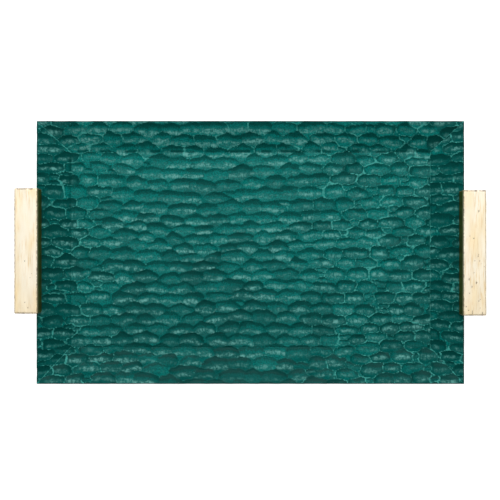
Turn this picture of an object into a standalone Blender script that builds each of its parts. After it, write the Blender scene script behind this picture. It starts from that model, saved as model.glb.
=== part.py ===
"""A rectangular wooden serving tray: a flat base, four flared side boards mitred at the corners,
and a gilded block handle over each short edge. X runs along the tray, +Y is the back, +Z is up,
and the origin is on the table under the middle of the tray."""

import math

import bmesh
import bpy
from mathutils import Matrix, Vector

# Driving dimensions, in metres.
RIM_LENGTH = 0.460
RIM_WIDTH = 0.283
OVERALL_LENGTH = 0.498
WELL_DEPTH = 0.022
BASE_THICKNESS = 0.012
FOOT_HEIGHT = 0.0025
END_RUN = 0.0335  # how far each flared side spreads in plan
BACK_RUN = 0.032
FRONT_RUN = 0.038
RIM_EDGE_HEIGHT = 0.0145  # thickness of a flared board, measured straight down
RIM_EASING = 0.0012
FIT_GAP = 0.0003  # between neighbouring pieces

HANDLE_WIDTH = 0.0245
HANDLE_LENGTH = 0.1325
HANDLE_RISE = 0.022  # top of the handle above the rim
HANDLE_HEIGHT = 0.035
HANDLE_EASING = 0.0008
LEFT_HANDLE_SHIFT = 0.0016  # towards the back: the handles are set by hand
RIGHT_HANDLE_SHIFT = -0.0004

TONGUE_THICKNESS = 0.003
TONGUE_WIDTH = 0.011
TONGUE_SETBACK = 0.018  # the stopped grooves end this far from the base's corners

SPLINE_LENGTH = 0.034
SPLINE_WIDTH = 0.011
SPLINE_THICKNESS = 0.0025
SPLINE_DEPTH = 0.0055  # middle of the spline under the mitre line

SCREW_SPACING = 0.080
SCREW_LENGTH = 0.036  # under the head
SCREW_ROOT_RADIUS = 0.0013
SCREW_CREST_RADIUS = 0.0020
SCREW_PITCH = 0.0018
SCREW_THREAD_TURNS = 12
SCREW_POINT_LENGTH = 0.005
SCREW_TIP_RADIUS = 0.0003
SCREW_HEAD_RADIUS = 0.0038
SCREW_HEAD_HEIGHT = 0.0026
SCREW_DOME_STEPS = 3
SCREW_DOME_ANGLE = math.radians(60)
SCREW_HEAD_DEPTH = 0.0100  # from the handle's face down to the seat of the head
RECESS_WIDTH = 0.0010
RECESS_SPAN = 0.0042
RECESS_DEPTH = 0.0015
PLUG_RADIUS = 0.0045
PLUG_LENGTH = 0.0060

FOOT_RADIUS = 0.009
FOOT_INSET = 0.024
FOOT_EASING = 0.0005

# Worked out from the driving dimensions.
BASE_BOTTOM = FOOT_HEIGHT
BASE_TOP = FOOT_HEIGHT + BASE_THICKNESS
RIM_TOP = BASE_TOP + WELL_DEPTH
BACK_JOINT = RIM_WIDTH / 2 - BACK_RUN
FRONT_JOINT = -RIM_WIDTH / 2 + FRONT_RUN
END_JOINT = RIM_LENGTH / 2 - END_RUN
JOINT_MIDDLE = (BACK_JOINT + FRONT_JOINT) / 2
END_SLOPE = WELL_DEPTH / END_RUN
END_ANGLE = math.atan(END_SLOPE)
TONGUE_Z = BASE_BOTTOM + BASE_THICKNESS / 2
HANDLE_OVERHANG = (OVERALL_LENGTH - RIM_LENGTH) / 2

CUTTER_MARGIN = 0.002
ROUND_SIDES = 32
SCREW_SIDES = 14
SMOOTH_ANGLE = math.radians(35)


def clear_scene():
    for obj in list(bpy.data.objects):
        bpy.data.objects.remove(obj, do_unlink=True)


def finish(name, colour, roughness, metallic=0.0):
    """A plain material with one shader."""
    material = bpy.data.materials.new(name)
    material.use_nodes = True
    shader = material.node_tree.nodes["Principled BSDF"]
    shader.inputs["Base Color"].default_value = (*colour, 1.0)
    shader.inputs["Roughness"].default_value = roughness
    shader.inputs["Metallic"].default_value = metallic
    material.diffuse_color = (*colour, 1.0)
    return material


def green_paint(name):
    return finish(name + "_green_paint", (0.010, 0.122, 0.107), 0.45)


def gold_leaf(name):
    return finish(name + "_gold_leaf", (0.90, 0.72, 0.38), 0.38, 0.8)


def pale_plywood(name):
    return finish(name + "_pale_plywood", (0.55, 0.38, 0.21), 0.7)


def zinc_steel(name):
    return finish(name + "_zinc_steel", (0.60, 0.58, 0.50), 0.35, 1.0)


def dark_felt(name):
    return finish(name + "_dark_felt", (0.02, 0.025, 0.024), 0.95)


def add_piece(name, bm, matrix, material, parent):
    """A finished sub-part from a mesh built around its own origin."""
    obj = add_object(name, bm, matrix)
    obj.data.materials.append(material)
    obj.parent = parent
    return obj


def add_cutter(name, bm, matrix):
    obj = add_object(name, bm, matrix)
    obj.hide_render = True
    obj.display_type = "WIRE"
    return obj


def add_object(name, bm, matrix):
    bmesh.ops.recalc_face_normals(bm, faces=bm.faces)
    mesh = bpy.data.meshes.new(name)
    bm.to_mesh(mesh)
    bm.free()
    obj = bpy.data.objects.new(name, mesh)
    bpy.context.scene.collection.objects.link(obj)
    obj.matrix_world = matrix
    return obj


def cut(obj, cutters):
    for cutter in cutters:
        modifier = obj.modifiers.new("cut_" + cutter.name, "BOOLEAN")
        modifier.operation = "DIFFERENCE"
        modifier.solver = "EXACT"
        modifier.object = cutter


def smooth(obj):
    obj.data.shade_smooth()
    obj.data.set_sharp_from_angle(angle=SMOOTH_ANGLE)


def block(length, width, height):
    """A box centred on its origin."""
    bm = bmesh.new()
    bmesh.ops.create_cube(bm, size=1.0)
    bmesh.ops.scale(bm, vec=(length, width, height), verts=bm.verts)
    return bm


def turned(profile, sides):
    """A solid of revolution about Z from (radius, height) points, closed by a flat cap at each end."""
    bm = bmesh.new()
    rings = []
    for radius, height in profile:
        ring = []
        for i in range(sides):
            angle = 2 * math.pi * i / sides
            ring.append(bm.verts.new((radius * math.cos(angle), radius * math.sin(angle), height)))
        rings.append(ring)
    for lower, upper in zip(rings, rings[1:]):
        for i in range(sides):
            j = (i + 1) % sides
            bm.faces.new((lower[i], lower[j], upper[j], upper[i]))
    bm.faces.new(rings[0])
    bm.faces.new(rings[-1])
    return bm


def eased(corners, segments=3):
    """The outline through (y, z, radius) corners, with an arc of that radius at each rounded one."""
    outline = []
    count = len(corners)
    for i, (y, z, radius) in enumerate(corners):
        here = Vector((y, z))
        if not radius:
            outline.append(here)
            continue
        before = (Vector(corners[i - 1][:2]) - here).normalized()
        after = (Vector(corners[(i + 1) % count][:2]) - here).normalized()
        half = before.angle(after) / 2
        centre = here + (before + after).normalized() * radius / math.sin(half)
        start = here + before * radius / math.tan(half) - centre
        end = here + after * radius / math.tan(half) - centre
        sweep = start.angle_signed(end)
        for step in range(segments + 1):
            turn = Matrix.Rotation(-sweep * step / segments, 2)
            outline.append(centre + turn @ start)
    return outline


def loft_between(outline, left_x, right_x):
    """A solid from one outline in the YZ plane to the same outline at the far end.

    left_x and right_x give the end's place along X for each distance y, so an end can be mitred.
    """
    bm = bmesh.new()
    left = [bm.verts.new((left_x(y), y, z)) for y, z in outline]
    right = [bm.verts.new((right_x(y), y, z)) for y, z in outline]
    count = len(outline)
    for i in range(count):
        j = (i + 1) % count
        bm.faces.new((left[i], left[j], right[j], right[i]))
    bm.faces.new(left)
    bm.faces.new(right)
    return bm


def side_frames():
    """Where each flared board sits: X along it, Y outwards, Z up, at the middle of its joint."""
    half_turn = math.pi
    quarter = math.pi / 2
    return {
        "back": Matrix.Translation((0, BACK_JOINT, 0)),
        "front": Matrix.Translation((0, FRONT_JOINT, 0)) @ Matrix.Rotation(half_turn, 4, "Z"),
        "right": Matrix.Translation((END_JOINT, JOINT_MIDDLE, 0)) @ Matrix.Rotation(-quarter, 4, "Z"),
        "left": Matrix.Translation((-END_JOINT, JOINT_MIDDLE, 0)) @ Matrix.Rotation(quarter, 4, "Z"),
    }


def side_sizes():
    """For each board: its run, the length of its joint, and the runs of its neighbours at -X and +X."""
    end_length = BACK_JOINT - FRONT_JOINT
    return {
        "back": (BACK_RUN, 2 * END_JOINT, END_RUN, END_RUN),
        "front": (FRONT_RUN, 2 * END_JOINT, END_RUN, END_RUN),
        "right": (END_RUN, end_length, BACK_RUN, FRONT_RUN),
        "left": (END_RUN, end_length, FRONT_RUN, BACK_RUN),
    }


def board_outline(run):
    """Section of a flared board: y outwards from its joint with the base, z up from the table."""
    slope = WELL_DEPTH / run
    underside_at_joint = BASE_TOP - RIM_EDGE_HEIGHT
    flat_end = (BASE_BOTTOM - underside_at_joint) / slope
    inner = FIT_GAP / 2
    return eased(
        [
            (inner, BASE_BOTTOM, 0),
            (flat_end, BASE_BOTTOM, 0),
            (run, RIM_TOP - RIM_EDGE_HEIGHT, RIM_EASING),
            (run, RIM_TOP, RIM_EASING),
            (inner, BASE_TOP + inner * slope, 0),
        ]
    )


def side_board(side, frame, size, parent):
    run, joint_length, left_run, right_run = size
    left_ratio = left_run / run
    right_ratio = right_run / run
    left_gap = FIT_GAP / 2 * math.hypot(1, left_ratio)
    right_gap = FIT_GAP / 2 * math.hypot(1, right_ratio)

    def left_end(y):
        return -joint_length / 2 - y * left_ratio + left_gap

    def right_end(y):
        return joint_length / 2 + y * right_ratio - right_gap

    bm = loft_between(board_outline(run), left_end, right_end)
    name = "side_board_" + side
    return add_piece(name, bm, frame, green_paint(name), parent)


def base_panel(parent):
    bm = block(
        2 * END_JOINT - FIT_GAP,
        BACK_JOINT - FRONT_JOINT - FIT_GAP,
        BASE_THICKNESS,
    )
    middle = Matrix.Translation((0, JOINT_MIDDLE, BASE_BOTTOM + BASE_THICKNESS / 2))
    return add_piece("base_panel", bm, middle, green_paint("base_panel"), parent)


def base_tongue(side, frame, joint_length, parent):
    """A loose tongue across the joint of one board and the base, with the groove that holds it."""
    length = joint_length - 2 * TONGUE_SETBACK
    middle = frame @ Matrix.Translation((0, 0, TONGUE_Z))
    name = "base_tongue_" + side
    tongue = add_piece(
        name, block(length, TONGUE_WIDTH, TONGUE_THICKNESS), middle, pale_plywood(name), parent
    )
    room = 2 * FIT_GAP
    groove = block(length + room, TONGUE_WIDTH + room, TONGUE_THICKNESS + room)
    return tongue, add_cutter("groove_" + side, groove, middle)


def corner_frame(x_side, y_side):
    """Middle of the mitre at one corner: X across the joint, Y up along the mitre line."""
    y_run = BACK_RUN if y_side > 0 else FRONT_RUN
    y_joint = BACK_JOINT if y_side > 0 else FRONT_JOINT
    low = Vector((x_side * END_JOINT, y_joint, BASE_TOP))
    climb = Vector((x_side * END_RUN, y_side * y_run, WELL_DEPTH))
    across = Vector((climb.y, -climb.x, 0)).normalized()
    along = climb.normalized()
    upright = across.cross(along)
    turn = Matrix((across, along, upright)).transposed().to_4x4()
    return Matrix.Translation(low + climb / 2 - Vector((0, 0, SPLINE_DEPTH))) @ turn


def corner_spline(corner, frame, parent):
    """A thin plywood key across one mitre, with the slot that holds it."""
    name = "corner_spline_" + corner
    spline = add_piece(
        name, block(SPLINE_WIDTH, SPLINE_LENGTH, SPLINE_THICKNESS), frame, pale_plywood(name), parent
    )
    room = 2 * FIT_GAP
    slot = block(SPLINE_WIDTH + room, SPLINE_LENGTH + room, SPLINE_THICKNESS + room)
    return spline, add_cutter("slot_" + corner, slot, frame)


def handle_frames():
    """Each handle's origin is on the top of the rim's outer edge: X along the handle, Y outwards."""
    quarter = math.pi / 2
    right = Matrix.Translation((RIM_LENGTH / 2, RIGHT_HANDLE_SHIFT, RIM_TOP))
    left = Matrix.Translation((-RIM_LENGTH / 2, LEFT_HANDLE_SHIFT, RIM_TOP))
    return {
        "right": right @ Matrix.Rotation(-quarter, 4, "Z"),
        "left": left @ Matrix.Rotation(quarter, 4, "Z"),
    }


def handle_outline():
    """Section of a handle: a block with a rebate that laps over the rim's edge."""
    inner = HANDLE_OVERHANG - HANDLE_WIDTH
    top = HANDLE_RISE
    bottom = HANDLE_RISE - HANDLE_HEIGHT
    lift = FIT_GAP / math.cos(END_ANGLE)
    shoulder = FIT_GAP
    return eased(
        [
            (shoulder, bottom, 0),
            (HANDLE_OVERHANG, bottom, HANDLE_EASING),
            (HANDLE_OVERHANG, top, HANDLE_EASING),
            (inner, top, HANDLE_EASING),
            (inner, inner * END_SLOPE + lift, 0),
            (shoulder, shoulder * END_SLOPE + lift, 0),
        ],
        segments=2,
    )


def handle(side, frame, parent):
    def start(_):
        return -HANDLE_LENGTH / 2

    def end(_):
        return HANDLE_LENGTH / 2

    name = "handle_" + side
    return add_piece(name, loft_between(handle_outline(), start, end), frame, gold_leaf(name), parent)


def screw_frame(handle_frame, offset):
    """On the handle's outer face, with Z pointing out along the screw.

    The screw runs down the middle of the flared board, in line with its slope.
    """
    edge_middle = -RIM_EDGE_HEIGHT / 2
    entry = Vector((offset, HANDLE_OVERHANG, edge_middle + HANDLE_OVERHANG * END_SLOPE))
    lean = Matrix.Rotation(END_ANGLE - math.pi / 2, 4, "X")
    return handle_frame @ Matrix.Translation(entry) @ lean


def screw_profile():
    """(radius, height) from the point up to the top of the pan head, from the seat of the head."""
    start = -SCREW_LENGTH
    thread_bottom = start + SCREW_POINT_LENGTH
    profile = [(SCREW_TIP_RADIUS, start), (SCREW_ROOT_RADIUS, thread_bottom)]
    for turn in range(SCREW_THREAD_TURNS):
        base = thread_bottom + turn * SCREW_PITCH
        profile.append((SCREW_CREST_RADIUS, base + SCREW_PITCH / 2))
        profile.append((SCREW_ROOT_RADIUS, base + SCREW_PITCH))
    shank_radius = (SCREW_ROOT_RADIUS + SCREW_CREST_RADIUS) / 2
    profile.append((shank_radius, thread_bottom + (SCREW_THREAD_TURNS + 0.5) * SCREW_PITCH))
    profile.append((shank_radius, 0))
    profile.append((SCREW_HEAD_RADIUS, 0))
    for step in range(1, SCREW_DOME_STEPS + 1):
        share = step / SCREW_DOME_STEPS
        profile.append((SCREW_HEAD_RADIUS * math.cos(SCREW_DOME_ANGLE * share), SCREW_HEAD_HEIGHT * share))
    return profile


def handle_screw(name, frame, parent):
    seat = frame @ Matrix.Translation((0, 0, -SCREW_HEAD_DEPTH))
    screw = add_piece(name, turned(screw_profile(), SCREW_SIDES), seat, zinc_steel(name), parent)
    smooth(screw)
    recess_bottom = SCREW_HEAD_HEIGHT - RECESS_DEPTH
    recess_top = SCREW_HEAD_HEIGHT + CUTTER_MARGIN
    middle = seat @ Matrix.Translation((0, 0, (recess_bottom + recess_top) / 2))
    height = recess_top - recess_bottom
    arm = add_cutter("recess_a_" + name, block(RECESS_SPAN, RECESS_WIDTH, height), middle)
    cross = add_cutter("recess_b_" + name, block(RECESS_WIDTH, RECESS_SPAN, height), middle)
    cut(screw, [arm, cross])
    return screw


def slanted_plug(radius, inner_depth):
    """A cylinder along Z whose outer end is flush with the handle's upright face."""
    bm = turned([(radius, -inner_depth), (radius, 0)], ROUND_SIDES)
    bm.verts.ensure_lookup_table()
    for vert in bm.verts[-ROUND_SIDES:]:
        vert.co.z = -vert.co.y * END_SLOPE
    return bm


def handle_plug(name, frame, parent):
    plug = add_piece(name, slanted_plug(PLUG_RADIUS, PLUG_LENGTH), frame, gold_leaf(name), parent)
    smooth(plug)
    return plug


def screw_cutters(name, frame):
    """The counterbore for the head and plug, and the hole for the shank."""
    bore_radius = PLUG_RADIUS + FIT_GAP
    bore_end = SCREW_HEAD_DEPTH + FIT_GAP
    counterbore = turned([(bore_radius, -bore_end), (bore_radius, 2 * PLUG_RADIUS)], ROUND_SIDES)
    shank_radius = SCREW_CREST_RADIUS + FIT_GAP
    shank_end = SCREW_HEAD_DEPTH + SCREW_LENGTH + CUTTER_MARGIN
    shank = turned([(shank_radius, -shank_end), (shank_radius, 0)], SCREW_SIDES)
    return (
        add_cutter("counterbore_" + name, counterbore, frame),
        add_cutter("shank_hole_" + name, shank, frame),
    )


def foot_pad(name, x, y, parent):
    top = FOOT_HEIGHT - FIT_GAP
    profile = [
        (FOOT_RADIUS - FOOT_EASING, 0),
        (FOOT_RADIUS, FOOT_EASING),
        (FOOT_RADIUS, top),
    ]
    pad = add_piece(
        name, turned(profile, ROUND_SIDES), Matrix.Translation((x, y, 0)), dark_felt(name), parent
    )
    smooth(pad)
    return pad


def build():
    clear_scene()
    tray = bpy.data.objects.new("tray", None)
    bpy.context.scene.collection.objects.link(tray)

    frames = side_frames()
    sizes = side_sizes()
    base = base_panel(tray)
    boards = {}
    for side, frame in frames.items():
        boards[side] = side_board(side, frame, sizes[side], tray)
        groove = base_tongue(side, frame, sizes[side][1], tray)[1]
        cut(boards[side], [groove])
        cut(base, [groove])

    for x_name, x_side in (("left", -1), ("right", 1)):
        for y_name, y_side in (("front", -1), ("back", 1)):
            corner = y_name + "_" + x_name
            slot = corner_spline(corner, corner_frame(x_side, y_side), tray)[1]
            cut(boards[x_name], [slot])
            cut(boards[y_name], [slot])
            foot_x = x_side * (END_JOINT - FOOT_INSET)
            joint_y = BACK_JOINT if y_side > 0 else FRONT_JOINT
            foot_pad("foot_pad_" + corner, foot_x, joint_y - y_side * FOOT_INSET, tray)

    for side, frame in handle_frames().items():
        grip = handle(side, frame, tray)
        for end in (-1, 1):
            towards_back = end if side == "left" else -end
            place = side + ("_back" if towards_back > 0 else "_front")
            at = screw_frame(frame, end * SCREW_SPACING / 2)
            handle_screw("handle_screw_" + place, at, tray)
            handle_plug("handle_plug_" + place, at, tray)
            counterbore, shank_hole = screw_cutters(place, at)
            cut(grip, [counterbore, shank_hole])
            cut(boards[side], [shank_hole])


build()
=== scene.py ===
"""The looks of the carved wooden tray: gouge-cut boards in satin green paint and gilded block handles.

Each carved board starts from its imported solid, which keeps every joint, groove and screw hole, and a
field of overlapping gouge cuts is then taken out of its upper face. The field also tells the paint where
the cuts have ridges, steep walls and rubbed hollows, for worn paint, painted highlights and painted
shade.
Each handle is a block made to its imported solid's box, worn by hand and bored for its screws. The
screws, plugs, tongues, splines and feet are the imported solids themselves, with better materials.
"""

import math

import bmesh
import bpy
import numpy as np
from mathutils import Matrix, Vector


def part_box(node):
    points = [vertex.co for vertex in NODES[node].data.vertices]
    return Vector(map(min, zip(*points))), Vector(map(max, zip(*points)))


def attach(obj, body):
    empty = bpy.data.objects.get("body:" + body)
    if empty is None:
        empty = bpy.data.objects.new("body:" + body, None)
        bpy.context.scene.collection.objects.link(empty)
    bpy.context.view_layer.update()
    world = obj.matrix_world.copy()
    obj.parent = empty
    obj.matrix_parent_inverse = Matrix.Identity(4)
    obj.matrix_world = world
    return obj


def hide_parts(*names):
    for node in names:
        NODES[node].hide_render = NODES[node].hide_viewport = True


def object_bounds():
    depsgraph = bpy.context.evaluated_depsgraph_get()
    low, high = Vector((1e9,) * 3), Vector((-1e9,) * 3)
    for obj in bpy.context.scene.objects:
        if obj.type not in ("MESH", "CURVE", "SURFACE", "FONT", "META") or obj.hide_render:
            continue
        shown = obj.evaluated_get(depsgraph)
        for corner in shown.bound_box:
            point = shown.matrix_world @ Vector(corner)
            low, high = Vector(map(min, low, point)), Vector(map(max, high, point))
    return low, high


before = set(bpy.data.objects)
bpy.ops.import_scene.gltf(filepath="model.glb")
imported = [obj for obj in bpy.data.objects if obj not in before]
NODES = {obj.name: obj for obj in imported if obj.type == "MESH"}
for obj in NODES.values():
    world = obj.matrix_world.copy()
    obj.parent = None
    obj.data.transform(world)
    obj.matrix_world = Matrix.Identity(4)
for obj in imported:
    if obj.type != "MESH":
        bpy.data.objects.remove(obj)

CAD_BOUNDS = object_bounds()
MM = 0.001
BODY = "root"
OUTWARDS = {"back": (0, 1, 0), "front": (0, -1, 0), "left": (-1, 0, 0), "right": (1, 0, 0)}

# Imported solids: how near points are to be one, and how flat faces are to be one, in radians.
WELD_DISTANCE = 1e-6
FLAT_ANGLE = 1e-4

# The carved surfaces, as grids over the plan: finer across the cuts than along them.
STEP_ALONG = 1.15 * MM
STEP_ACROSS = 0.80 * MM
FIELD_MARGIN = 2 * MM
NO_CUT = 1.0  # stands for a second cut where there is none, far above any real one
SHARP_ANGLE = math.radians(62)
ON_SURFACE = 0.3 * MM  # a point this near a surface lies on it

# The rows of cuts, and how far a hand strays from them.
PITCH = 11.4 * MM  # from one row of cuts to the next
SPACING = 25.4 * MM  # from one cut to the next along its row
ROW_MARGIN = 14 * MM
ROW_SWAY = 2.3 * MM
STRAY_ALONG = 2.2  # standard deviations in millimetres, along a row and across it
STRAY_ACROSS = 0.9
TILT = 0.06  # standard deviation of a cut's slope against its row
SKEW = 0.2  # the most by which one half of a cut is longer than the other
SHAKE_ALONG = 0.60 * MM
SHAKE_ACROSS = 0.38 * MM
TREMBLE = 0.18 * MM
DRIFT = 0.10 * MM  # slow rise and fall of the whole carved surface

# The least and the most of each cut's sizes, as multiples of its style's.
ROW_SPREAD = {
    "half_length": (0.80, 1.20),
    "half_width": (0.84, 1.22),
    "depth": (0.75, 1.25),
    "arch": (0.2, 1.6),
    "scuff": (0.3, 1.0),
}
GAP_SPREAD = {
    "half_length": (0.35, 0.75),
    "half_width": (0.35, 0.60),
    "scuff": (0.0, 0.6),
}
GAP_TRIES = 24000
GAP_DEPTH = 0.6
GAP_TILT = 0.1
UNCUT = 0.05 * MM  # wood less deep than this still counts as uncut

# One cut, in its own coordinates: -1 to 1 along it, and -1 at its front to 1 at its back.
OUTLINE_POWER = 2.5  # 2 would make each cut's outline an ellipse, more squares it off
SCOOP_POWER = 2.8  # 2 would make its hollow a plain bowl, more flattens the floor
REACH_ALONG = 1.7  # how much of the grid a cut is worked out over, in half lengths
REACH_ACROSS = 2.2  # and in half widths

# Painted shade round a cut's outline and up its steep back wall, where less light falls. It varies from
# cut to cut.
OUTLINE_SHADE = (0.64, 0.90)
FRONT_TO_BACK = (-0.6, 0.3)
FRONT_SHARE = 0.4
BACK_SHADE = (-0.20, 0.50)
MOST_SHADE = 1.12
SHADE_RANGE = 0.60
GAP_SHADE = 0.8

# Worn thin paint with a painted highlight on the ridges, and less of both on the uncut land.
CREST_HEIGHT = 0.42 * MM
CREST_MOST = 0.95
LAND_LOSS = 0.50
LAND_DEPTHS = (-0.15 * MM, -0.02 * MM)

# Where the cuts' style changes, in metres from the tray's middle: ovals by X, the full arch by Y.
OVALS_RIGHT = (0.02, 0.11)
OVALS_LEFT = (-0.13, -0.18)
ARCHED_FRONT = (0.05, -0.03)
FLATTEST = 0.45  # the share of the arch that is left at the back

# Painted shade along the fold round the base.
FOLD_SHADE = 0.40
FOLD_SHADE_BACK = 0.55  # added to it towards the back
FOLD_BACK = (0.04, 0.09)
FOLD_BREAKS = (-0.9, 0.3)
FOLD_AT = 1.2 * MM
FOLD_WIDTH = 1.7 * MM

# The rounded outer edge of the rim, with the darkest painted shade.
RIM_ROUND = 1.6 * MM
RIM_SHADE_VALUE = 1.6  # the painted shade mask's value there, past the 1 of a cut's steepest wall
RIM_FULL = 0.25  # the mask is full where the rim is eased by this share of its rounding

# Board joints, which are brought out until they almost meet.
JOINT_GROWTH = 0.12 * MM
JOINT_AREA = 1e-4  # square metres; a glued face is larger
UPRIGHT = 0.05  # the most of Z in an upright face's normal
FACING = 0.9  # the least cosine between a face's normal and the way that it looks
DIAGONAL = 0.1  # a mitre's normal has more than this of both X and Y
PARALLEL = 0.999  # the least cosine between the normals of faces in one plane
PAST_FACE = 0.05 * MM  # a board reaches no further than this past its glued faces
AT_FACE = 0.02 * MM
SEAM_CREST = 0.7
SIDE_SHADE = 0.45  # the painted shade mask on faces that aren't carved
SIDE_TONE = 0.5  # the mask of random tone and painted shade there, and wherever no cut reaches
CUTTER_RISE = 20 * MM

# Handles, their bores and their wear.
HANDLE_GAP = 0.35 * MM
HANDLE_EASING = 0.9 * MM
HANDLE_VOXEL = 0.55 * MM
HANDLE_SHARP_ANGLE = math.radians(50)
PLUG_CLEARANCE = 0.12 * MM
BORE_LENGTH = 30  # millimetres
SHANK_SHARE = 0.62  # of the screw head's radius
HEAD_SHARE = 0.9  # points further out than this share of the radius are the head's
SEAT_CLEARANCE = 0.3 * MM
UNEVENNESS = 0.03 * MM
NICK_DEPTH = 0.16 * MM
EDGE_WEAR = (1.5 * MM, 0.2 * MM)  # how far from an edge wear starts, and where it is full
END_WEAR = (2.2 * MM, 0.6 * MM)
LEAST_WEAR = 0.6  # the share that shows where the rubbing is weakest
PIT_DEPTH = 0.35 * MM
PIT_MASK = 0.8
PIT_LIP = 0.6
PIT_RADIUS = (0.30, 0.70)  # millimetres
PIT_LENGTH = (1.0, 3.0)  # in radii
PIT_ENDS = (1.1, 2.2)  # a beta distribution, which puts most pits towards the front
PIT_SKIN = 1.2 * MM  # only the top face's skin has pits
# Painted shade and a painted reflection of the green tray, low on the handles' faces towards the tray.
INNER_SHADE_FACE = (1.2 * MM, 0.5 * MM)
INNER_SHADE_TOP = 0.5 * MM  # how far below the top the painted shade starts, and where it is full
INNER_SHADE_FULL = 9 * MM

# The camera stands this far above the rim, and a little off the tray's middle.
CAMERA_DISTANCE = 1.1925
CAMERA_X = -0.4 * MM
CAMERA_Y = 2.6 * MM
RIM_HEIGHT = 36.5 * MM


# ---------------------------------------------------------------- meshes


def new_object(name, mesh):
    obj = bpy.data.objects.new(name, mesh)
    bpy.context.scene.collection.objects.link(obj)
    return obj


def mesh_from_bmesh(name, bm):
    mesh = bpy.data.meshes.new(name)
    bmesh.ops.recalc_face_normals(bm, faces=bm.faces)
    bm.to_mesh(mesh)
    bm.free()
    return mesh


def welded_copy(name, node):
    """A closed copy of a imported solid, whose faces come in unjoined."""
    bm = bmesh.new()
    bm.from_mesh(NODES[node].data)
    bmesh.ops.remove_doubles(bm, verts=bm.verts, dist=WELD_DISTANCE)
    bmesh.ops.dissolve_limit(bm, angle_limit=FLAT_ANGLE, verts=bm.verts, edges=bm.edges)
    mesh = mesh_from_bmesh(name, bm)
    mesh.materials.clear()
    return new_object(name, mesh)


def remove(obj):
    mesh = obj.data
    bpy.data.objects.remove(obj, do_unlink=True)
    bpy.data.meshes.remove(mesh)


def apply_modifiers(obj):
    graph = bpy.context.evaluated_depsgraph_get()
    baked = bpy.data.meshes.new_from_object(obj.evaluated_get(graph))
    old = obj.data
    obj.modifiers.clear()
    obj.data = baked
    bpy.data.meshes.remove(old)


def subtract(obj, cutter):
    """Takes the cutter out of the object, and the cutter out of the scene."""
    modifier = obj.modifiers.new("cut", "BOOLEAN")
    modifier.operation = "DIFFERENCE"
    modifier.solver = "EXACT"
    modifier.object = cutter
    apply_modifiers(obj)
    remove(cutter)


def coordinates(mesh):
    found = np.empty(len(mesh.vertices) * 3)
    mesh.vertices.foreach_get("co", found)
    return found.reshape(-1, 3)


def set_coordinates(mesh, places):
    mesh.vertices.foreach_set("co", places.ravel())
    mesh.update()


def normals_of(mesh):
    found = np.empty(len(mesh.vertices) * 3)
    mesh.vertices.foreach_get("normal", found)
    return found.reshape(-1, 3)


def set_attribute(mesh, name, values):
    layer = mesh.attributes.new(name, "FLOAT", "POINT")
    layer.data.foreach_set("value", values.astype(np.float32))


def smooth(mesh, angle):
    mesh.shade_smooth()
    mesh.set_sharp_from_angle(angle=angle)


def declare(obj, nodes):
    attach(obj, BODY)
    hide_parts(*nodes)


# ---------------------------------------------------------------- noise and gouge cuts


class Waves:
    """Smooth seeded noise over the plan: a sum of random sine waves, about -1 to 1."""

    count = 14
    spread = (0.7, 1.6)

    def __init__(self, seed, wavelength, stretch=1.0):
        rng = np.random.default_rng(seed)
        heading = rng.uniform(0, 2 * math.pi, self.count)
        number = 2 * math.pi / (wavelength * rng.uniform(*self.spread, self.count))
        self.kx = number * np.cos(heading) / stretch
        self.ky = number * np.sin(heading)
        self.phase = rng.uniform(0, 2 * math.pi, self.count)
        self.scale = math.sqrt(2.0 / self.count)

    def __call__(self, x, y):
        total = np.zeros(np.broadcast(x, y).shape)
        for kx, ky, phase in zip(self.kx, self.ky, self.phase):
            total += np.sin(kx * x + ky * y + phase)
        return total * self.scale


def smoothstep(low, high, value):
    t = np.clip((value - low) / (high - low), 0, 1)
    return t * t * (3 - 2 * t)


def vary(size, spread, rng):
    """Makes a cut's sizes random multiples of what they were."""
    for key, (least, most) in spread.items():
        size[key] *= rng.uniform(least, most)


def own_coordinates(dx, dy, size, tilt, skew):
    """Places near a cut in its own coordinates, from their distances to its middle."""
    half_length = size["half_length"]
    back = size["back_share"]
    along = dx + dy * tilt
    across = dy - dx * tilt + size["arch"] * (along * along) / half_length
    u = along / (half_length * np.where(along > 0, 1 + skew, 1 - skew))
    v = across / (size["half_width"] * np.where(across > 0, back, 2 - back))
    return u, v


def painted_wall_shade(v, reach, size):
    """Painted shade round a cut's outline and on its steep back wall, where less light falls."""
    front_to_back = FRONT_SHARE + (1 - FRONT_SHARE) * smoothstep(*FRONT_TO_BACK, v)
    outline = size["rim_shade"] * smoothstep(*OUTLINE_SHADE, reach) * front_to_back
    back_wall = smoothstep(*BACK_SHADE, v - size["shade_back"])
    return size["pooling"] * np.maximum(outline, back_wall)


def scuff_and_highlight(u, v, size):
    """How far the paint is rubbed, with a painted highlight, in a low wide patch in the front half of a
    cut.
    """
    along = (u / size["scuff_length"]) ** 4
    across = ((v - size["scuff_at"]) / size["scuff_width"]) ** 2
    return size["scuff"] * np.exp(-along - across)


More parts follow.
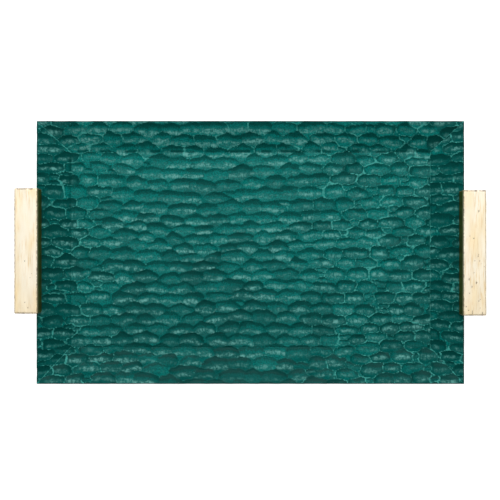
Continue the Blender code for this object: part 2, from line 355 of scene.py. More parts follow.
class Carving:
    """A field of gouge cuts over a rectangle of the plan, as a grid of depths below the board's face.

    Each cut is a scoop, long in X, with a steep wall at the back where the gouge went in and a gentler
    run out at the front. Where scoops meet they leave a ridge, and where none reaches, the face stays.
    """

    def __init__(self, low, high, seed):
        self.x = np.arange(low[0], high[0] + STEP_ALONG, STEP_ALONG)
        self.y = np.arange(low[1], high[1] + STEP_ACROSS, STEP_ACROSS)
        shape = (len(self.x), len(self.y))
        self.depth = np.zeros(shape)
        self.second = np.full(shape, NO_CUT)
        # Masks of random tone with painted shade, of painted shade on the walls, and of scuffs with
        # painted highlights.
        self.tone = np.full(shape, SIDE_TONE)
        self.painted_shade = np.zeros(shape)
        self.patch = np.zeros(shape)
        self.ridge = np.ones(shape)
        self.land = np.ones(shape)
        self.rng = np.random.default_rng(seed)
        # A shaky hand: the cuts are laid out on slightly warped coordinates.
        x, y = self.plan()
        shake_along = SHAKE_ALONG * Waves(seed + 3, wavelength=0.013)(x, y)
        shake_across = SHAKE_ACROSS * Waves(seed + 4, wavelength=0.012)(x, y)
        tremble = TREMBLE * Waves(seed + 5, wavelength=0.005)(x, y)
        self.shaky_x = x + shake_along
        self.shaky_y = y + shake_across + tremble

    def plan(self):
        """The grid's X as a column and its Y as a row."""
        return self.x[:, None], self.y[None, :]

    def cut(self, x, y, size, tilt, skew, tone):
        """Takes out one scoop, which counts only where it goes deeper than those before it."""
        reach_x = REACH_ALONG * size["half_length"]
        reach_y = REACH_ACROSS * size["half_width"]
        columns = slice(*np.searchsorted(self.x, (x - reach_x, x + reach_x)))
        rows = slice(*np.searchsorted(self.y, (y - reach_y, y + reach_y)))
        here = (columns, rows)
        u, v = own_coordinates(self.shaky_x[here] - x, self.shaky_y[here] - y, size, tilt, skew)
        reach = (np.abs(u) ** OUTLINE_POWER + np.abs(v) ** OUTLINE_POWER) ** (1 / OUTLINE_POWER)
        scoop = size["depth"] * (reach ** SCOOP_POWER - 1)

        deeper = scoop < self.depth[here]
        self.second[here] = np.where(deeper, self.depth[here], np.minimum(self.second[here], scoop))
        changes = (
            (self.depth, scoop),
            (self.tone, tone),
            (self.painted_shade, painted_wall_shade(v, reach, size)),
            (self.patch, scuff_and_highlight(u, v, size)),
            (self.ridge, size["ridge"]),
        )
        for grid, value in changes:
            grid[here] = np.where(deeper, value, grid[here])

    def cut_in_row(self, x, y, style, sway):
        """One cut near that place in a row, off by as much as a hand strays."""
        rng = self.rng
        here_x = x + rng.normal(0, STRAY_ALONG) * MM
        here_y = y + sway(here_x, y) + rng.normal(0, STRAY_ACROSS) * MM
        size = style(here_x, here_y)
        vary(size, ROW_SPREAD, rng)
        chance = rng.random()
        size["pooling"] = MOST_SHADE - SHADE_RANGE * chance
        # A cut's random tone, less the painted shade that darkens the end boards and the front.
        tone = chance - size["shade"]
        self.cut(here_x, here_y, size, rng.normal(0, TILT), rng.uniform(-SKEW, SKEW), tone)

    def fill_rows(self, style, sway):
        """Wavy rows of cuts over the whole rectangle, each row set half a step along from the last."""
        row = 0
        y = self.y[-1] + ROW_MARGIN
        while y > self.y[0] - ROW_MARGIN:
            x = self.x[0] - ROW_MARGIN + (row % 2) * SPACING / 2
            while x < self.x[-1] + ROW_MARGIN:
                self.cut_in_row(x, y, style, sway)
                x += SPACING
            y -= PITCH
            row += 1

    def fill_gaps(self, style):
        """Short cuts where the rows left the widest uncut places."""
        rng = self.rng
        for i, j in rng.integers((0, 0), self.depth.shape, (GAP_TRIES, 2)):
            around = self.depth[max(i - 1, 0):i + 2, max(j - 1, 0):j + 2]
            if around.min() < -UNCUT:
                continue
            size = style(self.x[i], self.y[j])
            vary(size, GAP_SPREAD, rng)
            size["depth"] *= GAP_DEPTH
            size["pooling"] = GAP_SHADE
            tilt = rng.normal(0, GAP_TILT)
            self.cut(self.x[i], self.y[j], size, tilt, 0.0, rng.random() - size["shade"])

    def crest(self):
        """Near 1 along the ridges, half of that on uncut wood beside a cut, 0 inside the cuts."""
        to_second = self.second - self.depth
        return self.ridge * np.exp(-to_second / CREST_HEIGHT) * (CREST_MOST - LAND_LOSS * self.land)

    def at(self, grid, x, y):
        """A grid's values at the points of the plan nearest to the given ones."""
        i = np.clip(np.rint((x - self.x[0]) / STEP_ALONG).astype(int), 0, len(self.x) - 1)
        j = np.clip(np.rint((y - self.y[0]) / STEP_ACROSS).astype(int), 0, len(self.y) - 1)
        return grid[i, j]

    def cutter(self, name, low, high, face_height, top):
        """A closed solid over that part of the plan, whose underside is the carved surface."""
        spare = (-2, 2)  # cells past the board's edges
        columns = slice(*(np.searchsorted(self.x, (low[0], high[0])) + spare))
        rows = slice(*(np.searchsorted(self.y, (low[1], high[1])) + spare))
        x, y = np.meshgrid(self.x[columns], self.y[rows], indexing="ij")
        z = face_height(x, y) + self.depth[columns, rows]
        places = np.stack([x, y, z], -1).reshape(-1, 3)
        index = np.arange(x.size).reshape(x.shape)
        under = np.stack([index[:-1, :-1], index[:-1, 1:], index[1:, 1:], index[1:, :-1]], -1)
        faces = under.reshape(-1, 4).tolist()
        rim = np.concatenate([index[:, 0], index[-1, 1:], index[-2::-1, -1], index[0, -2:0:-1]])
        lid = places[rim]
        lid[:, 2] = top
        first = len(places)
        count = len(rim)
        for i in range(count):
            j = (i + 1) % count
            faces.append((int(rim[i]), int(rim[j]), first + j, first + i))
        faces.append(tuple(range(first, first + count)))
        mesh = bpy.data.meshes.new(name)
        mesh.from_pydata(np.concatenate([places, lid]).tolist(), [], faces)
        mesh.update()
        return new_object(name, mesh)


def face_plane(node):
    """Height over the plan of a board's large upper face, as a function of x and y."""
    mesh = NODES[node].data
    upward = [p for p in mesh.polygons if p.normal.z > 0.5]
    face = max(upward, key=lambda p: p.area)
    n = face.normal.copy()
    c = face.center.copy()

    def height(x, y):
        return c.z - ((x - c.x) * n.x + (y - c.y) * n.y) / n.z

    return height


def rim_easing(x, y):
    """How far the rounded outer edge of the rim lies below the boards' faces."""
    rim_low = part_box("side_board_left")[0]
    rim_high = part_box("side_board_right")[1]
    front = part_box("side_board_front")[0].y
    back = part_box("side_board_back")[1].y
    to_end = np.minimum(x - rim_low.x, rim_high.x - x)
    to_side = np.minimum(y - front, back - y)
    into = np.clip(1 - np.minimum(to_end, to_side) / RIM_ROUND, 0, 1)
    return RIM_ROUND * (1 - np.sqrt(1 - into ** 2))


def fold_shade(x, y, seed):
    """Painted shade in dark, broken lines along the fold round the base, most of all at the back."""
    low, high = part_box("base_panel")
    beyond = np.maximum(np.maximum(low.x - x, x - high.x), np.maximum(low.y - y, y - high.y))
    strength = FOLD_SHADE + FOLD_SHADE_BACK * smoothstep(*FOLD_BACK, y)
    broken = smoothstep(*FOLD_BREAKS, Waves(seed, wavelength=0.022)(x, y))
    return strength * broken * np.exp(-((beyond - FOLD_AT) / FOLD_WIDTH) ** 2)


def cut_style(x, y):
    """A cut's sizes: arched scallops over the middle and left, separate ovals towards the ends.

    The arches are flatter towards the back. The cuts are larger on the back board, and painted shade
    makes them darker on the end boards and towards the front. Half lengths, half widths and depths are in
    metres, and the rest are shares, or places in the cut's own coordinates.
    """
    field_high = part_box("base_panel")[1]
    oval = float(max(smoothstep(*OVALS_RIGHT, x), smoothstep(*OVALS_LEFT, x)))
    on_back = float(smoothstep(field_high.y - 3 * MM, field_high.y + 6 * MM, y))
    on_end = float(smoothstep(field_high.x - 6 * MM, field_high.x + 6 * MM, abs(x)))
    flatter = FLATTEST + (1 - FLATTEST) * float(smoothstep(*ARCHED_FRONT, y))
    return {
        "half_length": (14.8 - 1.3 * oval + 1.0 * on_back) * MM,
        "half_width": (7.9 - 0.9 * oval + 0.8 * on_back) * MM,
        "depth": (1.75 + 0.15 * oval + 0.35 * on_back) * MM,
        "arch": (0.22 - 0.16 * oval) * flatter,
        "back_share": 0.62 + 0.30 * oval,
        "rim_shade": 0.15 + 0.75 * oval,
        "shade_back": -0.12 + 0.30 * oval - 0.26 * on_end,
        "scuff_at": -0.46 + 0.24 * oval,
        "scuff_length": 1.10 - 0.38 * oval,
        "scuff_width": 0.22 + 0.10 * oval,
        "ridge": min(1.0, 0.30 + 0.70 * oval + 0.50 * on_back),
        "scuff": 1.0 + 0.2 * on_back - 0.15 * on_end,
        "shade": 1.6 * on_end - 4.5 * y,
    }


def carve_field(seed, low, high):
    """A whole carving: rows of cuts, cuts in the gaps, painted shade in the fold, and the rounded rim
    with painted shade on it.
    """
    carving = Carving(low, high, seed)
    x, y = carving.plan()
    waves = Waves(seed + 1, wavelength=0.10, stretch=2.0)

    def sway(at_x, at_y):
        return ROW_SWAY * float(waves(np.float64(at_x), np.float64(at_y)))

    carving.fill_rows(cut_style, sway)
    carving.fill_gaps(cut_style)
    carving.land = smoothstep(*LAND_DEPTHS, carving.depth)
    carving.depth += DRIFT * (Waves(seed + 2, wavelength=0.030)(x, y) - 1.0)
    fold = fold_shade(x, y, seed + 6)
    # Painted shade in the fold.
    carving.painted_shade = np.maximum(carving.painted_shade, fold)
    carving.patch *= 1 - fold
    eased = rim_easing(x, y)
    carving.depth -= eased
    # Painted shade on the rounded rim.
    rounded = smoothstep(0.0, RIM_FULL * RIM_ROUND, eased)
    carving.painted_shade = np.maximum(carving.painted_shade, RIM_SHADE_VALUE * rounded)
    carving.patch *= 1 - rounded
    return carving


# ---------------------------------------------------------------- carved boards


def glued_planes(mesh, outwards):
    """(normal, offset) of each glued face: flat, upright and at the board's limit, but not outwards."""
    places = coordinates(mesh)
    planes = []
    for face in mesh.polygons:
        normal = np.array(face.normal)
        offset = np.array(face.center) @ normal
        if abs(normal[2]) > UPRIGHT or face.area < JOINT_AREA:
            continue
        if outwards is not None and normal @ outwards > FACING:
            continue
        if any(normal @ other > PARALLEL for other, _ in planes):
            continue
        if (places @ normal - offset).max() > PAST_FACE:
            continue
        planes.append((normal, offset))
    return planes


def close_joints(mesh, planes):
    """Brings glued faces out until they almost meet the next board's, and returns their new planes."""
    places = coordinates(mesh)
    moved = places.copy()
    for normal, offset in planes:
        moved[places @ normal - offset > -AT_FACE] += normal * JOINT_GROWTH
    set_coordinates(mesh, moved)
    return [(normal, offset + JOINT_GROWTH) for normal, offset in planes]


def seam(places, planes, right_board):
    """1 along a board's mitres, and all round the right-hand board's joints, whose edges show pale."""
    worn = np.zeros(len(places))
    for normal, offset in planes:
        mitre = abs(normal[0]) > DIAGONAL and abs(normal[1]) > DIAGONAL
        if mitre or right_board:
            worn[np.abs(places @ normal - offset) < ON_SURFACE] = 1.0
    return worn


def carved_board(node, name, outwards, carving, material):
    low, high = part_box(node)
    height = face_plane(node)
    board = welded_copy(name, node)
    planes = close_joints(board.data, glued_planes(board.data, outwards))
    subtract(board, carving.cutter("cutter", low, high, height, high.z + CUTTER_RISE))

    places = coordinates(board.data)
    x, y, z = places.T
    surface = height(x, y) + carving.at(carving.depth, x, y)
    on_top = (np.abs(z - surface) < ON_SURFACE).astype(float)
    pale_seam = SEAM_CREST * seam(places, planes, node.endswith("right"))
    # Masks for the paint: thin paint with painted highlights, painted shade, scuffs with painted
    # highlights, and tone with painted shade.
    masks = {
        "crest": (np.maximum(carving.at(carving.crest(), x, y), pale_seam), 0.0),
        "painted_shade": (carving.at(carving.painted_shade, x, y), SIDE_SHADE),
        "patch": (carving.at(carving.patch, x, y), 0.0),
        "tone": (carving.at(carving.tone, x, y), SIDE_TONE),
    }
    for mask, (carved, elsewhere) in masks.items():
        set_attribute(board.data, mask, carved * on_top + elsewhere * (1 - on_top))
    board.data.materials.append(material)
    smooth(board.data, SHARP_ANGLE)
    declare(board, [node])


def carved_boards(material):
    """The tray was put together and then cut, but for the right-hand board, cut on its own."""
    low, high = CAD_BOUNDS
    low = (low[0] - FIELD_MARGIN, low[1] - FIELD_MARGIN)
    high = (high[0] + FIELD_MARGIN, high[1] + FIELD_MARGIN)
    together = carve_field(11, low, high)
    alone = carve_field(59, low, high)
    carved_board("base_panel", "carved_base", None, together, material)
    for side, outwards in OUTWARDS.items():
        carving = alone if side == "right" else together
        carved_board("side_board_" + side, "carved_board_" + side, np.array(outwards), carving, material)


# ---------------------------------------------------------------- materials


class Shader:
    """Short calls for building one node material. Noise scales are in features per metre."""

    def __init__(self, name):
        self.material = bpy.data.materials.new(name)
        self.material.use_nodes = True
        self.tree = self.material.node_tree
        self.principled = self.tree.nodes["Principled BSDF"]
        self.texture = self.tree.nodes.new("ShaderNodeTexCoord")
        self.position = self.texture.outputs["Object"]

    def link(self, value, socket):
        if isinstance(value, bpy.types.NodeSocket):
            self.tree.links.new(value, socket)
        else:
            socket.default_value = value

    def node(self, kind, **settings):
        made = self.tree.nodes.new(kind)
        for key, value in settings.items():
            setattr(made, key, value)
        return made

    def attribute(self, name):
        return self.node("ShaderNodeAttribute", attribute_name=name).outputs["Fac"]

    def scaled(self, scale):
        mapping = self.node("ShaderNodeMapping")
        self.link(self.position, mapping.inputs["Vector"])
        mapping.inputs["Scale"].default_value = scale
        return mapping.outputs["Vector"]

    def part_of(self, vector, axis):
        split = self.node("ShaderNodeSeparateXYZ")
        self.link(vector, split.inputs["Vector"])
        return split.outputs[axis]

    def noise(self, scale, detail=2.0, roughness=0.5, distortion=0.0, stretch=(1, 1, 1)):
        made = self.node("ShaderNodeTexNoise")
        self.link(self.scaled(stretch), made.inputs["Vector"])
        made.inputs["Scale"].default_value = scale
        made.inputs["Detail"].default_value = detail
        made.inputs["Roughness"].default_value = roughness
        made.inputs["Distortion"].default_value = distortion
        return made.outputs["Fac"]

    def math(self, operation, a, b=0.0):
        made = self.node("ShaderNodeMath", operation=operation)
        self.link(a, made.inputs[0])
        self.link(b, made.inputs[1])
        return made.outputs[0]

    def add(self, a, b):
        return self.math("ADD", a, b)

    def times(self, a, b):
        return self.math("MULTIPLY", a, b)

    def ramp(self, value, low, high, to_low=0.0, to_high=1.0):
        """Eases from to_low to to_high as the value goes from low to high."""
        made = self.node("ShaderNodeMapRange", interpolation_type="SMOOTHSTEP")
        self.link(value, made.inputs["Value"])
        made.inputs["From Min"].default_value = low
        made.inputs["From Max"].default_value = high
        made.inputs["To Min"].default_value = to_low
        made.inputs["To Max"].default_value = to_high
        return made.outputs["Result"]

    def mix(self, factor, a, b):
        made = self.node("ShaderNodeMix", data_type="RGBA")
        self.link(factor, made.inputs["Factor"])
        self.link(a, made.inputs["A"])
        self.link(b, made.inputs["B"])
        return made.outputs["Result"]

    def bump(self, height, distance, strength=1.0, normal=None):
        made = self.node("ShaderNodeBump")
        made.inputs["Distance"].default_value = distance
        made.inputs["Strength"].default_value = strength
        self.link(height, made.inputs["Height"])
        if normal is not None:
            self.link(normal, made.inputs["Normal"])
        return made.outputs["Normal"]

    def set(self, name, value):
        self.link(value, self.principled.inputs[name])


def colour(red, green, blue):
    return (red, green, blue, 1.0)


def green_paint():
    """Satin emerald paint over gouged wood.

    It has painted shade on each cut's steep walls and in the fold round the base, darkest on the rounded
    rim. It is thin and worn on the ridges between cuts, with a painted highlight, and scuffed to a
    greyish green over the gouge's chatter marks in the front half of each cut, with a painted highlight
    there too.
    """
    deep = colour(0.0003, 0.101, 0.090)
    bright = colour(0.0008, 0.202, 0.178)
    mottled = colour(0.0003, 0.060, 0.052)
    # Painted shade for the walls and the rim, then thin and scuffed paint that carry painted highlights.
    painted_shade_green = colour(0.0002, 0.040, 0.034)
    rim_painted_shade = colour(0.0001, 0.014, 0.012)
    worn_and_highlit = colour(0.055, 0.360, 0.315)
    scuffed_and_highlit = colour(0.128, 0.398, 0.360)

    s = Shader("green_paint")
    cloud = s.noise(24.0, detail=3.0)
    grain = s.noise(300.0, detail=3.0, roughness=0.6, stretch=(0.14, 1.0, 1.0))
    chatter = s.noise(430.0, detail=4.0, roughness=0.7, stretch=(1.0, 0.34, 0.34))
    fleck = s.noise(260.0, detail=3.0, roughness=0.7, stretch=(0.60, 1.0, 1.0))
    mottle = s.noise(860.0, detail=2.0, roughness=0.6)
    ragged = s.math("SUBTRACT", s.noise(560.0, detail=3.0, roughness=0.65, stretch=(1.0, 0.5, 0.5)), 0.5)

    # The masks' edges are broken up, so that no coat ends in a clean line.
    crest = s.ramp(s.add(s.attribute("crest"), s.times(ragged, 1.2)), 0.30, 0.60)
    painted_shade = s.ramp(s.add(s.attribute("painted_shade"), s.times(ragged, 0.8)), 0.10, 0.68)
    rim = s.ramp(s.attribute("painted_shade"), 1.0, RIM_SHADE_VALUE, 0.0, 0.85)
    patch = s.attribute("patch")

    # Random tone from cut to cut, with painted shade darker on the end boards and towards the front.
    paint = s.mix(s.ramp(s.add(s.times(s.attribute("tone"), 0.35), cloud), 0.30, 0.95), deep, bright)
    paint = s.mix(s.ramp(mottle, 0.44, 0.57, 0.0, 0.66), paint, mottled)
    # Painted shade on the cuts' steep walls and round their outlines, and in the fold round the base.
    paint = s.mix(s.times(painted_shade, 0.62), paint, painted_shade_green)
    # Painted shade on the rounded outer edge of the rim.
    paint = s.mix(rim, paint, rim_painted_shade)
    # Worn thin paint with a painted highlight on the ridges and along the pale joints.
    paint = s.mix(s.times(crest, s.ramp(fleck, 0.36, 0.58, 0.30, 1.0)), paint, worn_and_highlit)
    broken = s.times(s.ramp(fleck, 0.42, 0.58, 0.15, 1.0), s.ramp(chatter, 0.38, 0.58, 0.18, 1.0))
    # Scuffed paint with a painted highlight in the front half of each cut.
    paint = s.mix(s.times(s.ramp(patch, 0.05, 0.85), broken), paint, scuffed_and_highlit)
    s.set("Base Color", paint)

    s.set("Roughness", s.ramp(s.add(grain, s.times(cloud, 0.5)), 0.5, 1.0, 0.30, 0.46))
    s.set("Specular IOR Level", 0.05)
    brushed = s.bump(s.add(grain, s.times(mottle, 0.6)), 0.16 * MM, 0.8)
    s.set("Normal", s.bump(s.times(chatter, patch), 0.32 * MM, 1.0, brushed))
    return s.material


def gold_leaf():
    """Pale gold leaf over wood: streaked along the grain, rubbed through to brown at edges and pits.

    It is warmer towards the handles' front ends, and painted shade makes it warmer on upright faces. The
    faces towards the tray keep a bright burnish under a painted olive shade and painted reflection of the
    green tray.
    """
    pale = colour(1.0, 0.92, 0.75)
    warm = colour(0.98, 0.79, 0.48)
    streaks = colour(0.86, 0.64, 0.34)
    olive_shade_reflection = colour(0.22, 0.16, 0.03)
    bole = colour(0.12, 0.060, 0.025)

    s = Shader("gold_leaf")
    streak = s.noise(820.0, detail=4.0, roughness=0.65, stretch=(1.0, 0.06, 1.0))
    cloud = s.noise(70.0, detail=2.0, stretch=(1.0, 0.3, 1.0))
    bare = s.noise(95.0, detail=2.0, stretch=(1.0, 0.4, 1.0))
    crackle = s.noise(260.0, detail=4.0, roughness=0.7)
    facing_up = s.math("ABSOLUTE", s.part_of(s.texture.outputs["Normal"], "Z"))
    # Painted shade and a painted reflection of the green tray low on the faces towards the tray, and
    # painted shade on upright faces.
    shade_and_reflection = s.math("MAXIMUM", s.attribute("shade_and_reflection"), s.ramp(facing_up, 0.75, 0.25, 0.0, 0.30))
    # Warmer towards the handles' front ends.
    warmer_to_front = s.ramp(s.part_of(s.position, "Y"), -0.020, -0.066, 0.0, 0.40)
    rubbed = s.times(s.attribute("edge"), s.ramp(crackle, 0.36, 0.55))
    worn = s.math("MAXIMUM", rubbed, s.attribute("pit"))

    toned = s.add(warmer_to_front, s.times(shade_and_reflection, 2.0))
    leaf = s.mix(s.add(s.ramp(cloud, 0.40, 0.75, 0.0, 0.75), toned), pale, warm)
    leaf = s.mix(s.times(s.ramp(streak, 0.46, 0.66), s.ramp(bare, 0.38, 0.62, 0.15, 0.85)), leaf, streaks)
    # The painted olive shade and reflection.
    leaf = s.mix(s.times(shade_and_reflection, 0.75), leaf, olive_shade_reflection)
    s.set("Base Color", s.mix(worn, leaf, bole))

    burnish = s.add(0.50, s.times(shade_and_reflection, 0.45))
    s.set("Metallic", s.times(burnish, s.ramp(worn, 0.0, 0.6, 1.0, 0.0)))
    s.set("Roughness", s.ramp(streak, 0.3, 0.7, 0.28, 0.44))
    s.set("Specular Tint", colour(0.70, 0.50, 0.18))
    fine = s.bump(streak, 0.10 * MM, 0.5)
    s.set("Normal", s.bump(crackle, 0.05 * MM, 0.4, fine))
    return s.material


def plywood():
    """Fine level plies with a coarser grain, for the tongues and splines."""
    s = Shader("plywood")
    plies = s.noise(900.0, stretch=(0.02, 0.02, 1.0))
    grain = s.noise(300.0, detail=4.0, stretch=(0.08, 1.0, 1.0))
    wood = s.mix(s.ramp(grain, 0.3, 0.7), colour(0.60, 0.42, 0.24), colour(0.44, 0.28, 0.14))
    s.set("Base Color", s.mix(s.ramp(plies, 0.45, 0.55, 0.0, 0.5), wood, colour(0.35, 0.21, 0.10)))
    s.set("Roughness", s.ramp(grain, 0.3, 0.7, 0.62, 0.82))
    s.set("Normal", s.bump(grain, 0.10 * MM, 0.6))
    return s.material


def zinc_steel():
    """Zinc-plated steel with a cloudy yellowish film."""
    s = Shader("screw_steel")
    film = s.noise(350.0, detail=3.0)
    s.set("Base Color", s.mix(film, colour(0.62, 0.60, 0.52), colour(0.48, 0.47, 0.44)))
    s.set("Metallic", 1.0)
    s.set("Roughness", s.ramp(film, 0.3, 0.7, 0.26, 0.46))
    s.set("Normal", s.bump(s.noise(1500.0), 0.02 * MM, 0.5))
    return s.material


def dark_felt():
    """Near-black matted fibres."""
    s = Shader("felt")
    fibre = s.noise(1400.0, detail=5.0, roughness=0.75, distortion=1.5)
    cloud = s.noise(160.0)
    felt = s.mix(s.ramp(fibre, 0.35, 0.7), colour(0.012, 0.014, 0.013), colour(0.050, 0.056, 0.052))
    s.set("Base Color", s.mix(s.times(cloud, 0.4), felt, colour(0.03, 0.035, 0.033)))
    s.set("Roughness", s.ramp(fibre, 0.3, 0.7, 0.88, 1.0))
    s.set("Sheen Weight", 0.25)
    s.set("Normal", s.bump(fibre, 0.25 * MM, 0.9))
    return s.material


# ---------------------------------------------------------------- handles


class Block:
    """A handle's block. Its x counts outwards from the tray's middle, at either end of the tray."""

    def __init__(self, node, board):
        low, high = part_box(node)
        rim_low, rim_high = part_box(board)
        self.outwards = 1 if high.x > 0 else -1
        self.inner, self.outer = sorted((self.outwards * low.x, self.outwards * high.x))
        self.rim = max(self.outwards * rim_low.x, self.outwards * rim_high.x)
        self.start = low.y
        self.end = high.y
        self.bottom = low.z
        self.top = high.z
        self.board_face = face_plane(board)

    def seat(self, x):
        """The height at which the block lies on the board."""
        return float(self.board_face(self.outwards * x, 0.0)) + HANDLE_GAP

    def corners(self):
        """The (x, z) corners of its section, notched to fit over the rim."""
        beside_rim = self.rim + HANDLE_GAP
        return [
            (beside_rim, self.bottom),
            (self.outer, self.bottom),
            (self.outer, self.top),
            (self.inner, self.top),
            (self.inner, self.seat(self.inner)),
            (beside_rim, self.seat(beside_rim)),
        ]

    def mesh(self, name):
        bm = bmesh.new()
        corners = self.corners()
        near = [bm.verts.new((self.outwards * x, self.start, z)) for x, z in corners]
        far = [bm.verts.new((self.outwards * x, self.end, z)) for x, z in corners]
        count = len(corners)
        for i in range(count):
            j = (i + 1) % count
            bm.faces.new((near[i], near[j], far[j], far[i]))
        bm.faces.new(near)
        bm.faces.new(far)
        bmesh.ops.recalc_face_normals(bm, faces=bm.faces)
        outer_edges = [e for e in bm.edges if e.is_convex]
        bmesh.ops.bevel(
            bm, geom=outer_edges, offset=HANDLE_EASING, segments=3, profile=0.5, affect="EDGES"
        )
        return mesh_from_bmesh(name, bm)

    def edge_wear(self, x, y, z):
        """1 along the block's edges, in a wider line at its ends, and 0 on its faces."""
        to_end = np.minimum(y - self.start, self.end - y)
        to_side = np.minimum(x - self.inner, self.outer - x)
        to_cap = np.minimum(self.top - z, z - self.bottom)
        nearest_two = np.sort(np.stack([to_end, to_side, to_cap]), axis=0)[1]
        edge = smoothstep(*EDGE_WEAR, nearest_two)
        return np.maximum(edge, smoothstep(*END_WEAR, np.maximum(to_end, to_cap)))

    def pits(self, x, y, z, rng, count):
        """One small pit of the top face after another, as how deep it is at each point, 0 to 1."""
        for _ in range(count):
            centre_y = self.start + (self.end - self.start) * rng.beta(*PIT_ENDS)
            centre_x = rng.uniform(self.inner + 2 * MM, self.outer - 1 * MM)
            radius_x = rng.uniform(*PIT_RADIUS) * MM
            radius_y = radius_x * rng.uniform(*PIT_LENGTH)
            distance = np.hypot((x - centre_x) / radius_x, (y - centre_y) / radius_y)
            yield np.clip(1 - distance, 0, 1) * (z > self.top - PIT_SKIN)

    def shade_and_reflection(self, x, z):
        """Painted shade and a painted reflection of the tray: 1 low on the face towards the tray, fading
        out towards its top.
        """
        facing_tray = smoothstep(*INNER_SHADE_FACE, x - self.inner)
        return facing_tray * smoothstep(self.top - INNER_SHADE_TOP, self.top - INNER_SHADE_FULL, z)


def remesh(obj, size):
    modifier = obj.modifiers.new("even", "REMESH")
    modifier.mode = "VOXEL"
    modifier.voxel_size = size
    modifier.use_smooth_shade = True
    apply_modifiers(obj)


def hand_worn(mesh, block, seed, pit_count):
    """Uneven faces, rubbed edges and small pits, with masks for the material."""
    places = coordinates(mesh)
    x = block.outwards * places[:, 0]
    y = places[:, 1]
    z = places[:, 2]
    unevenness = Waves(seed + 1, wavelength=0.035, stretch=0.3)
    rub = Waves(seed + 2, wavelength=0.006)
    edge = block.edge_wear(x, y, z)
    nick = np.clip(rub(x + z, y), 0, 2)
    move = -UNEVENNESS * (1 + unevenness(x + z, y)) - NICK_DEPTH * edge * nick

    pit = np.zeros(len(x))
    for hollow in block.pits(x, y, z, np.random.default_rng(seed), pit_count):
        move -= PIT_DEPTH * hollow
        pit = np.maximum(pit, PIT_MASK * smoothstep(0.0, PIT_LIP, hollow))
    set_coordinates(mesh, places + normals_of(mesh) * move[:, None])
    set_attribute(mesh, "edge", edge * (LEAST_WEAR + (1 - LEAST_WEAR) * np.clip(rub(x, y + z), 0, 1)))
    set_attribute(mesh, "pit", pit)
    # The mask of painted shade and painted reflection on the faces towards the tray.
    set_attribute(mesh, "shade_and_reflection", block.shade_and_reflection(x, z))


def screw_axis(node):
    """(middle, direction out of the handle) of a screw, from its own vertices."""
    places = coordinates(NODES[node].data)
    middle = places.mean(0)
    direction = np.linalg.svd(places - middle, full_matrices=False)[2][0]
    if direction[2] < 0:
        direction = -direction
    return Vector(middle), Vector(direction)


def about_axis(node, middle, direction):
    """How far along an axis, and how far away from it, each of a node's vertices lies."""
    places = coordinates(NODES[node].data) - np.array(middle)
    along = places @ np.array(direction)
    away = np.linalg.norm(places - along[:, None] * np.array(direction), axis=1)
    return along, away


def bore(name, start, direction, radius, length):
    """A cylinder that starts at a point and runs out along the direction."""
    bm = bmesh.new()
    bmesh.ops.create_cone(
        bm, cap_ends=True, segments=64, radius1=radius, radius2=radius, depth=length
    )
    turn = direction.to_track_quat("Z", "Y").to_matrix().to_4x4()
    bm.transform(Matrix.Translation(start + direction * length / 2) @ turn)
    return new_object(name, mesh_from_bmesh(name, bm))


def bore_for_screw(handle, screw, plug):
    """Drills a handle right through for a screw's shank, and from its head's seat up for its plug."""
    middle, direction = screw_axis(screw)
    plug_radius = float(about_axis(plug, middle, direction)[1].max())
    along, away = about_axis(screw, middle, direction)
    head_radius = float(away.max())
    seat = float(along[away > HEAD_SHARE * head_radius].min()) - SEAT_CLEARANCE
    head_bore = (middle + direction * seat, plug_radius + PLUG_CLEARANCE, BORE_LENGTH * MM)
    bottom = middle - direction * BORE_LENGTH * MM
    shank_bore = (bottom, SHANK_SHARE * head_radius, 2 * BORE_LENGTH * MM)
    for start, radius, length in (head_bore, shank_bore):
        subtract(handle, bore("bore", start, direction, radius, length))


def gilded_handle(side, seed, pit_count, material):
    node = "handle_" + side
    name = "gilded_handle_" + side
    block = Block(node, "side_board_" + side)
    handle = new_object(name, block.mesh(name))
    remesh(handle, HANDLE_VOXEL)
    hand_worn(handle.data, block, seed, pit_count)
    for place in ("front", "back"):
        bore_for_screw(handle, f"handle_screw_{side}_{place}", f"handle_plug_{side}_{place}")
    smooth(handle.data, HANDLE_SHARP_ANGLE)
    handle.data.materials.append(material)
    declare(handle, [node])


# ---------------------------------------------------------------- light, floor and camera


def area_light(name, location, target, size, power):
    data = bpy.data.lights.new(name, "AREA")
    data.shape = "RECTANGLE"
    data.size = size[0]
    data.size_y = size[1]
    data.energy = power
    light = bpy.data.objects.new(name, data)
    light.location = location
    light.rotation_euler = (Vector(target) - Vector(location)).to_track_quat("-Z", "Y").to_euler()
    bpy.context.scene.collection.objects.link(light)


def lights():
    """A wide panel overhead, a lower softbox behind, and a weak fill in front."""
    middle = (0.0, 0.0, 0.02)
    area_light("overhead_panel", (0.0, 0.25, 2.3), middle, size=(2.2, 1.6), power=13.0)
    area_light("back_softbox", (0.0, 0.80, 1.10), middle, size=(1.1, 0.6), power=11.0)
    area_light("front_softbox", (0.0, -1.3, 1.3), middle, size=(0.9, 0.5), power=3.0)


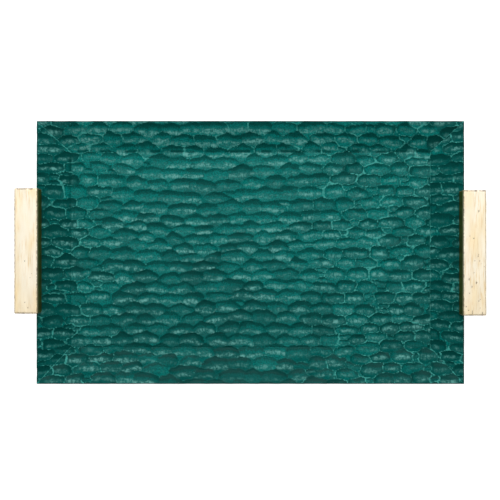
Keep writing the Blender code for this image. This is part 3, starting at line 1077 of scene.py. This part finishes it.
def pale_floor():
    """A wide floor, just below the feet, that shows almost white and still takes a soft shadow."""
    bm = bmesh.new()
    bmesh.ops.create_grid(bm, x_segments=1, y_segments=1, size=6.0)
    floor = new_object("floor", mesh_from_bmesh("floor", bm))
    floor.location.z = -0.2 * MM
    s = Shader("floor")
    s.set("Base Color", colour(0.75, 0.75, 0.75))
    s.set("Roughness", 0.9)
    s.set("Emission Color", colour(1.0, 1.0, 1.0))
    s.set("Emission Strength", 0.85)
    floor.data.materials.append(s.material)


def surroundings():
    """Pale to the eye, dim as a light, so that the tray is lit by its softboxes."""
    world = bpy.data.worlds.new("studio")
    bpy.context.scene.world = world
    world.use_nodes = True
    tree = world.node_tree
    white = colour(1.0, 1.0, 1.0)
    dim = tree.nodes["Background"]
    dim.inputs["Color"].default_value = white
    dim.inputs["Strength"].default_value = 0.20
    pale = tree.nodes.new("ShaderNodeBackground")
    pale.inputs["Color"].default_value = white
    pale.inputs["Strength"].default_value = 1.0
    seen = tree.nodes.new("ShaderNodeLightPath")
    either = tree.nodes.new("ShaderNodeMixShader")
    tree.links.new(seen.outputs["Is Camera Ray"], either.inputs["Fac"])
    tree.links.new(dim.outputs["Background"], either.inputs[1])
    tree.links.new(pale.outputs["Background"], either.inputs[2])
    tree.links.new(either.outputs["Shader"], tree.nodes["World Output"].inputs["Surface"])


def camera_above():
    """Straight down from above the tray, as a catalogue picture is taken."""
    data = bpy.data.cameras.new("camera")
    data.sensor_width = 36.0
    data.lens = 80.0
    camera = bpy.data.objects.new("camera", data)
    camera.location = (CAMERA_X, CAMERA_Y, RIM_HEIGHT + CAMERA_DISTANCE)
    bpy.context.scene.collection.objects.link(camera)
    bpy.context.scene.camera = camera


def finish_packed_solids(finishes):
    """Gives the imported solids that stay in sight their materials, by the start of their names."""
    for node, obj in NODES.items():
        for start, material in finishes.items():
            if node.startswith(start):
                for slot in obj.material_slots:
                    slot.material = material


def main():
    bpy.context.scene.view_settings.view_transform = "Standard"
    surroundings()
    pale_floor()
    lights()
    camera_above()

    paint = green_paint()
    gold = gold_leaf()
    carved_boards(paint)
    gilded_handle("left", 71, 5, gold)
    gilded_handle("right", 83, 24, gold)

    ply = plywood()
    finishes = {
        "base_tongue": ply,
        "corner_spline": ply,
        "handle_screw": zinc_steel(),
        "handle_plug": gold,
        "foot_pad": dark_felt(),
    }
    finish_packed_solids(finishes)


main()
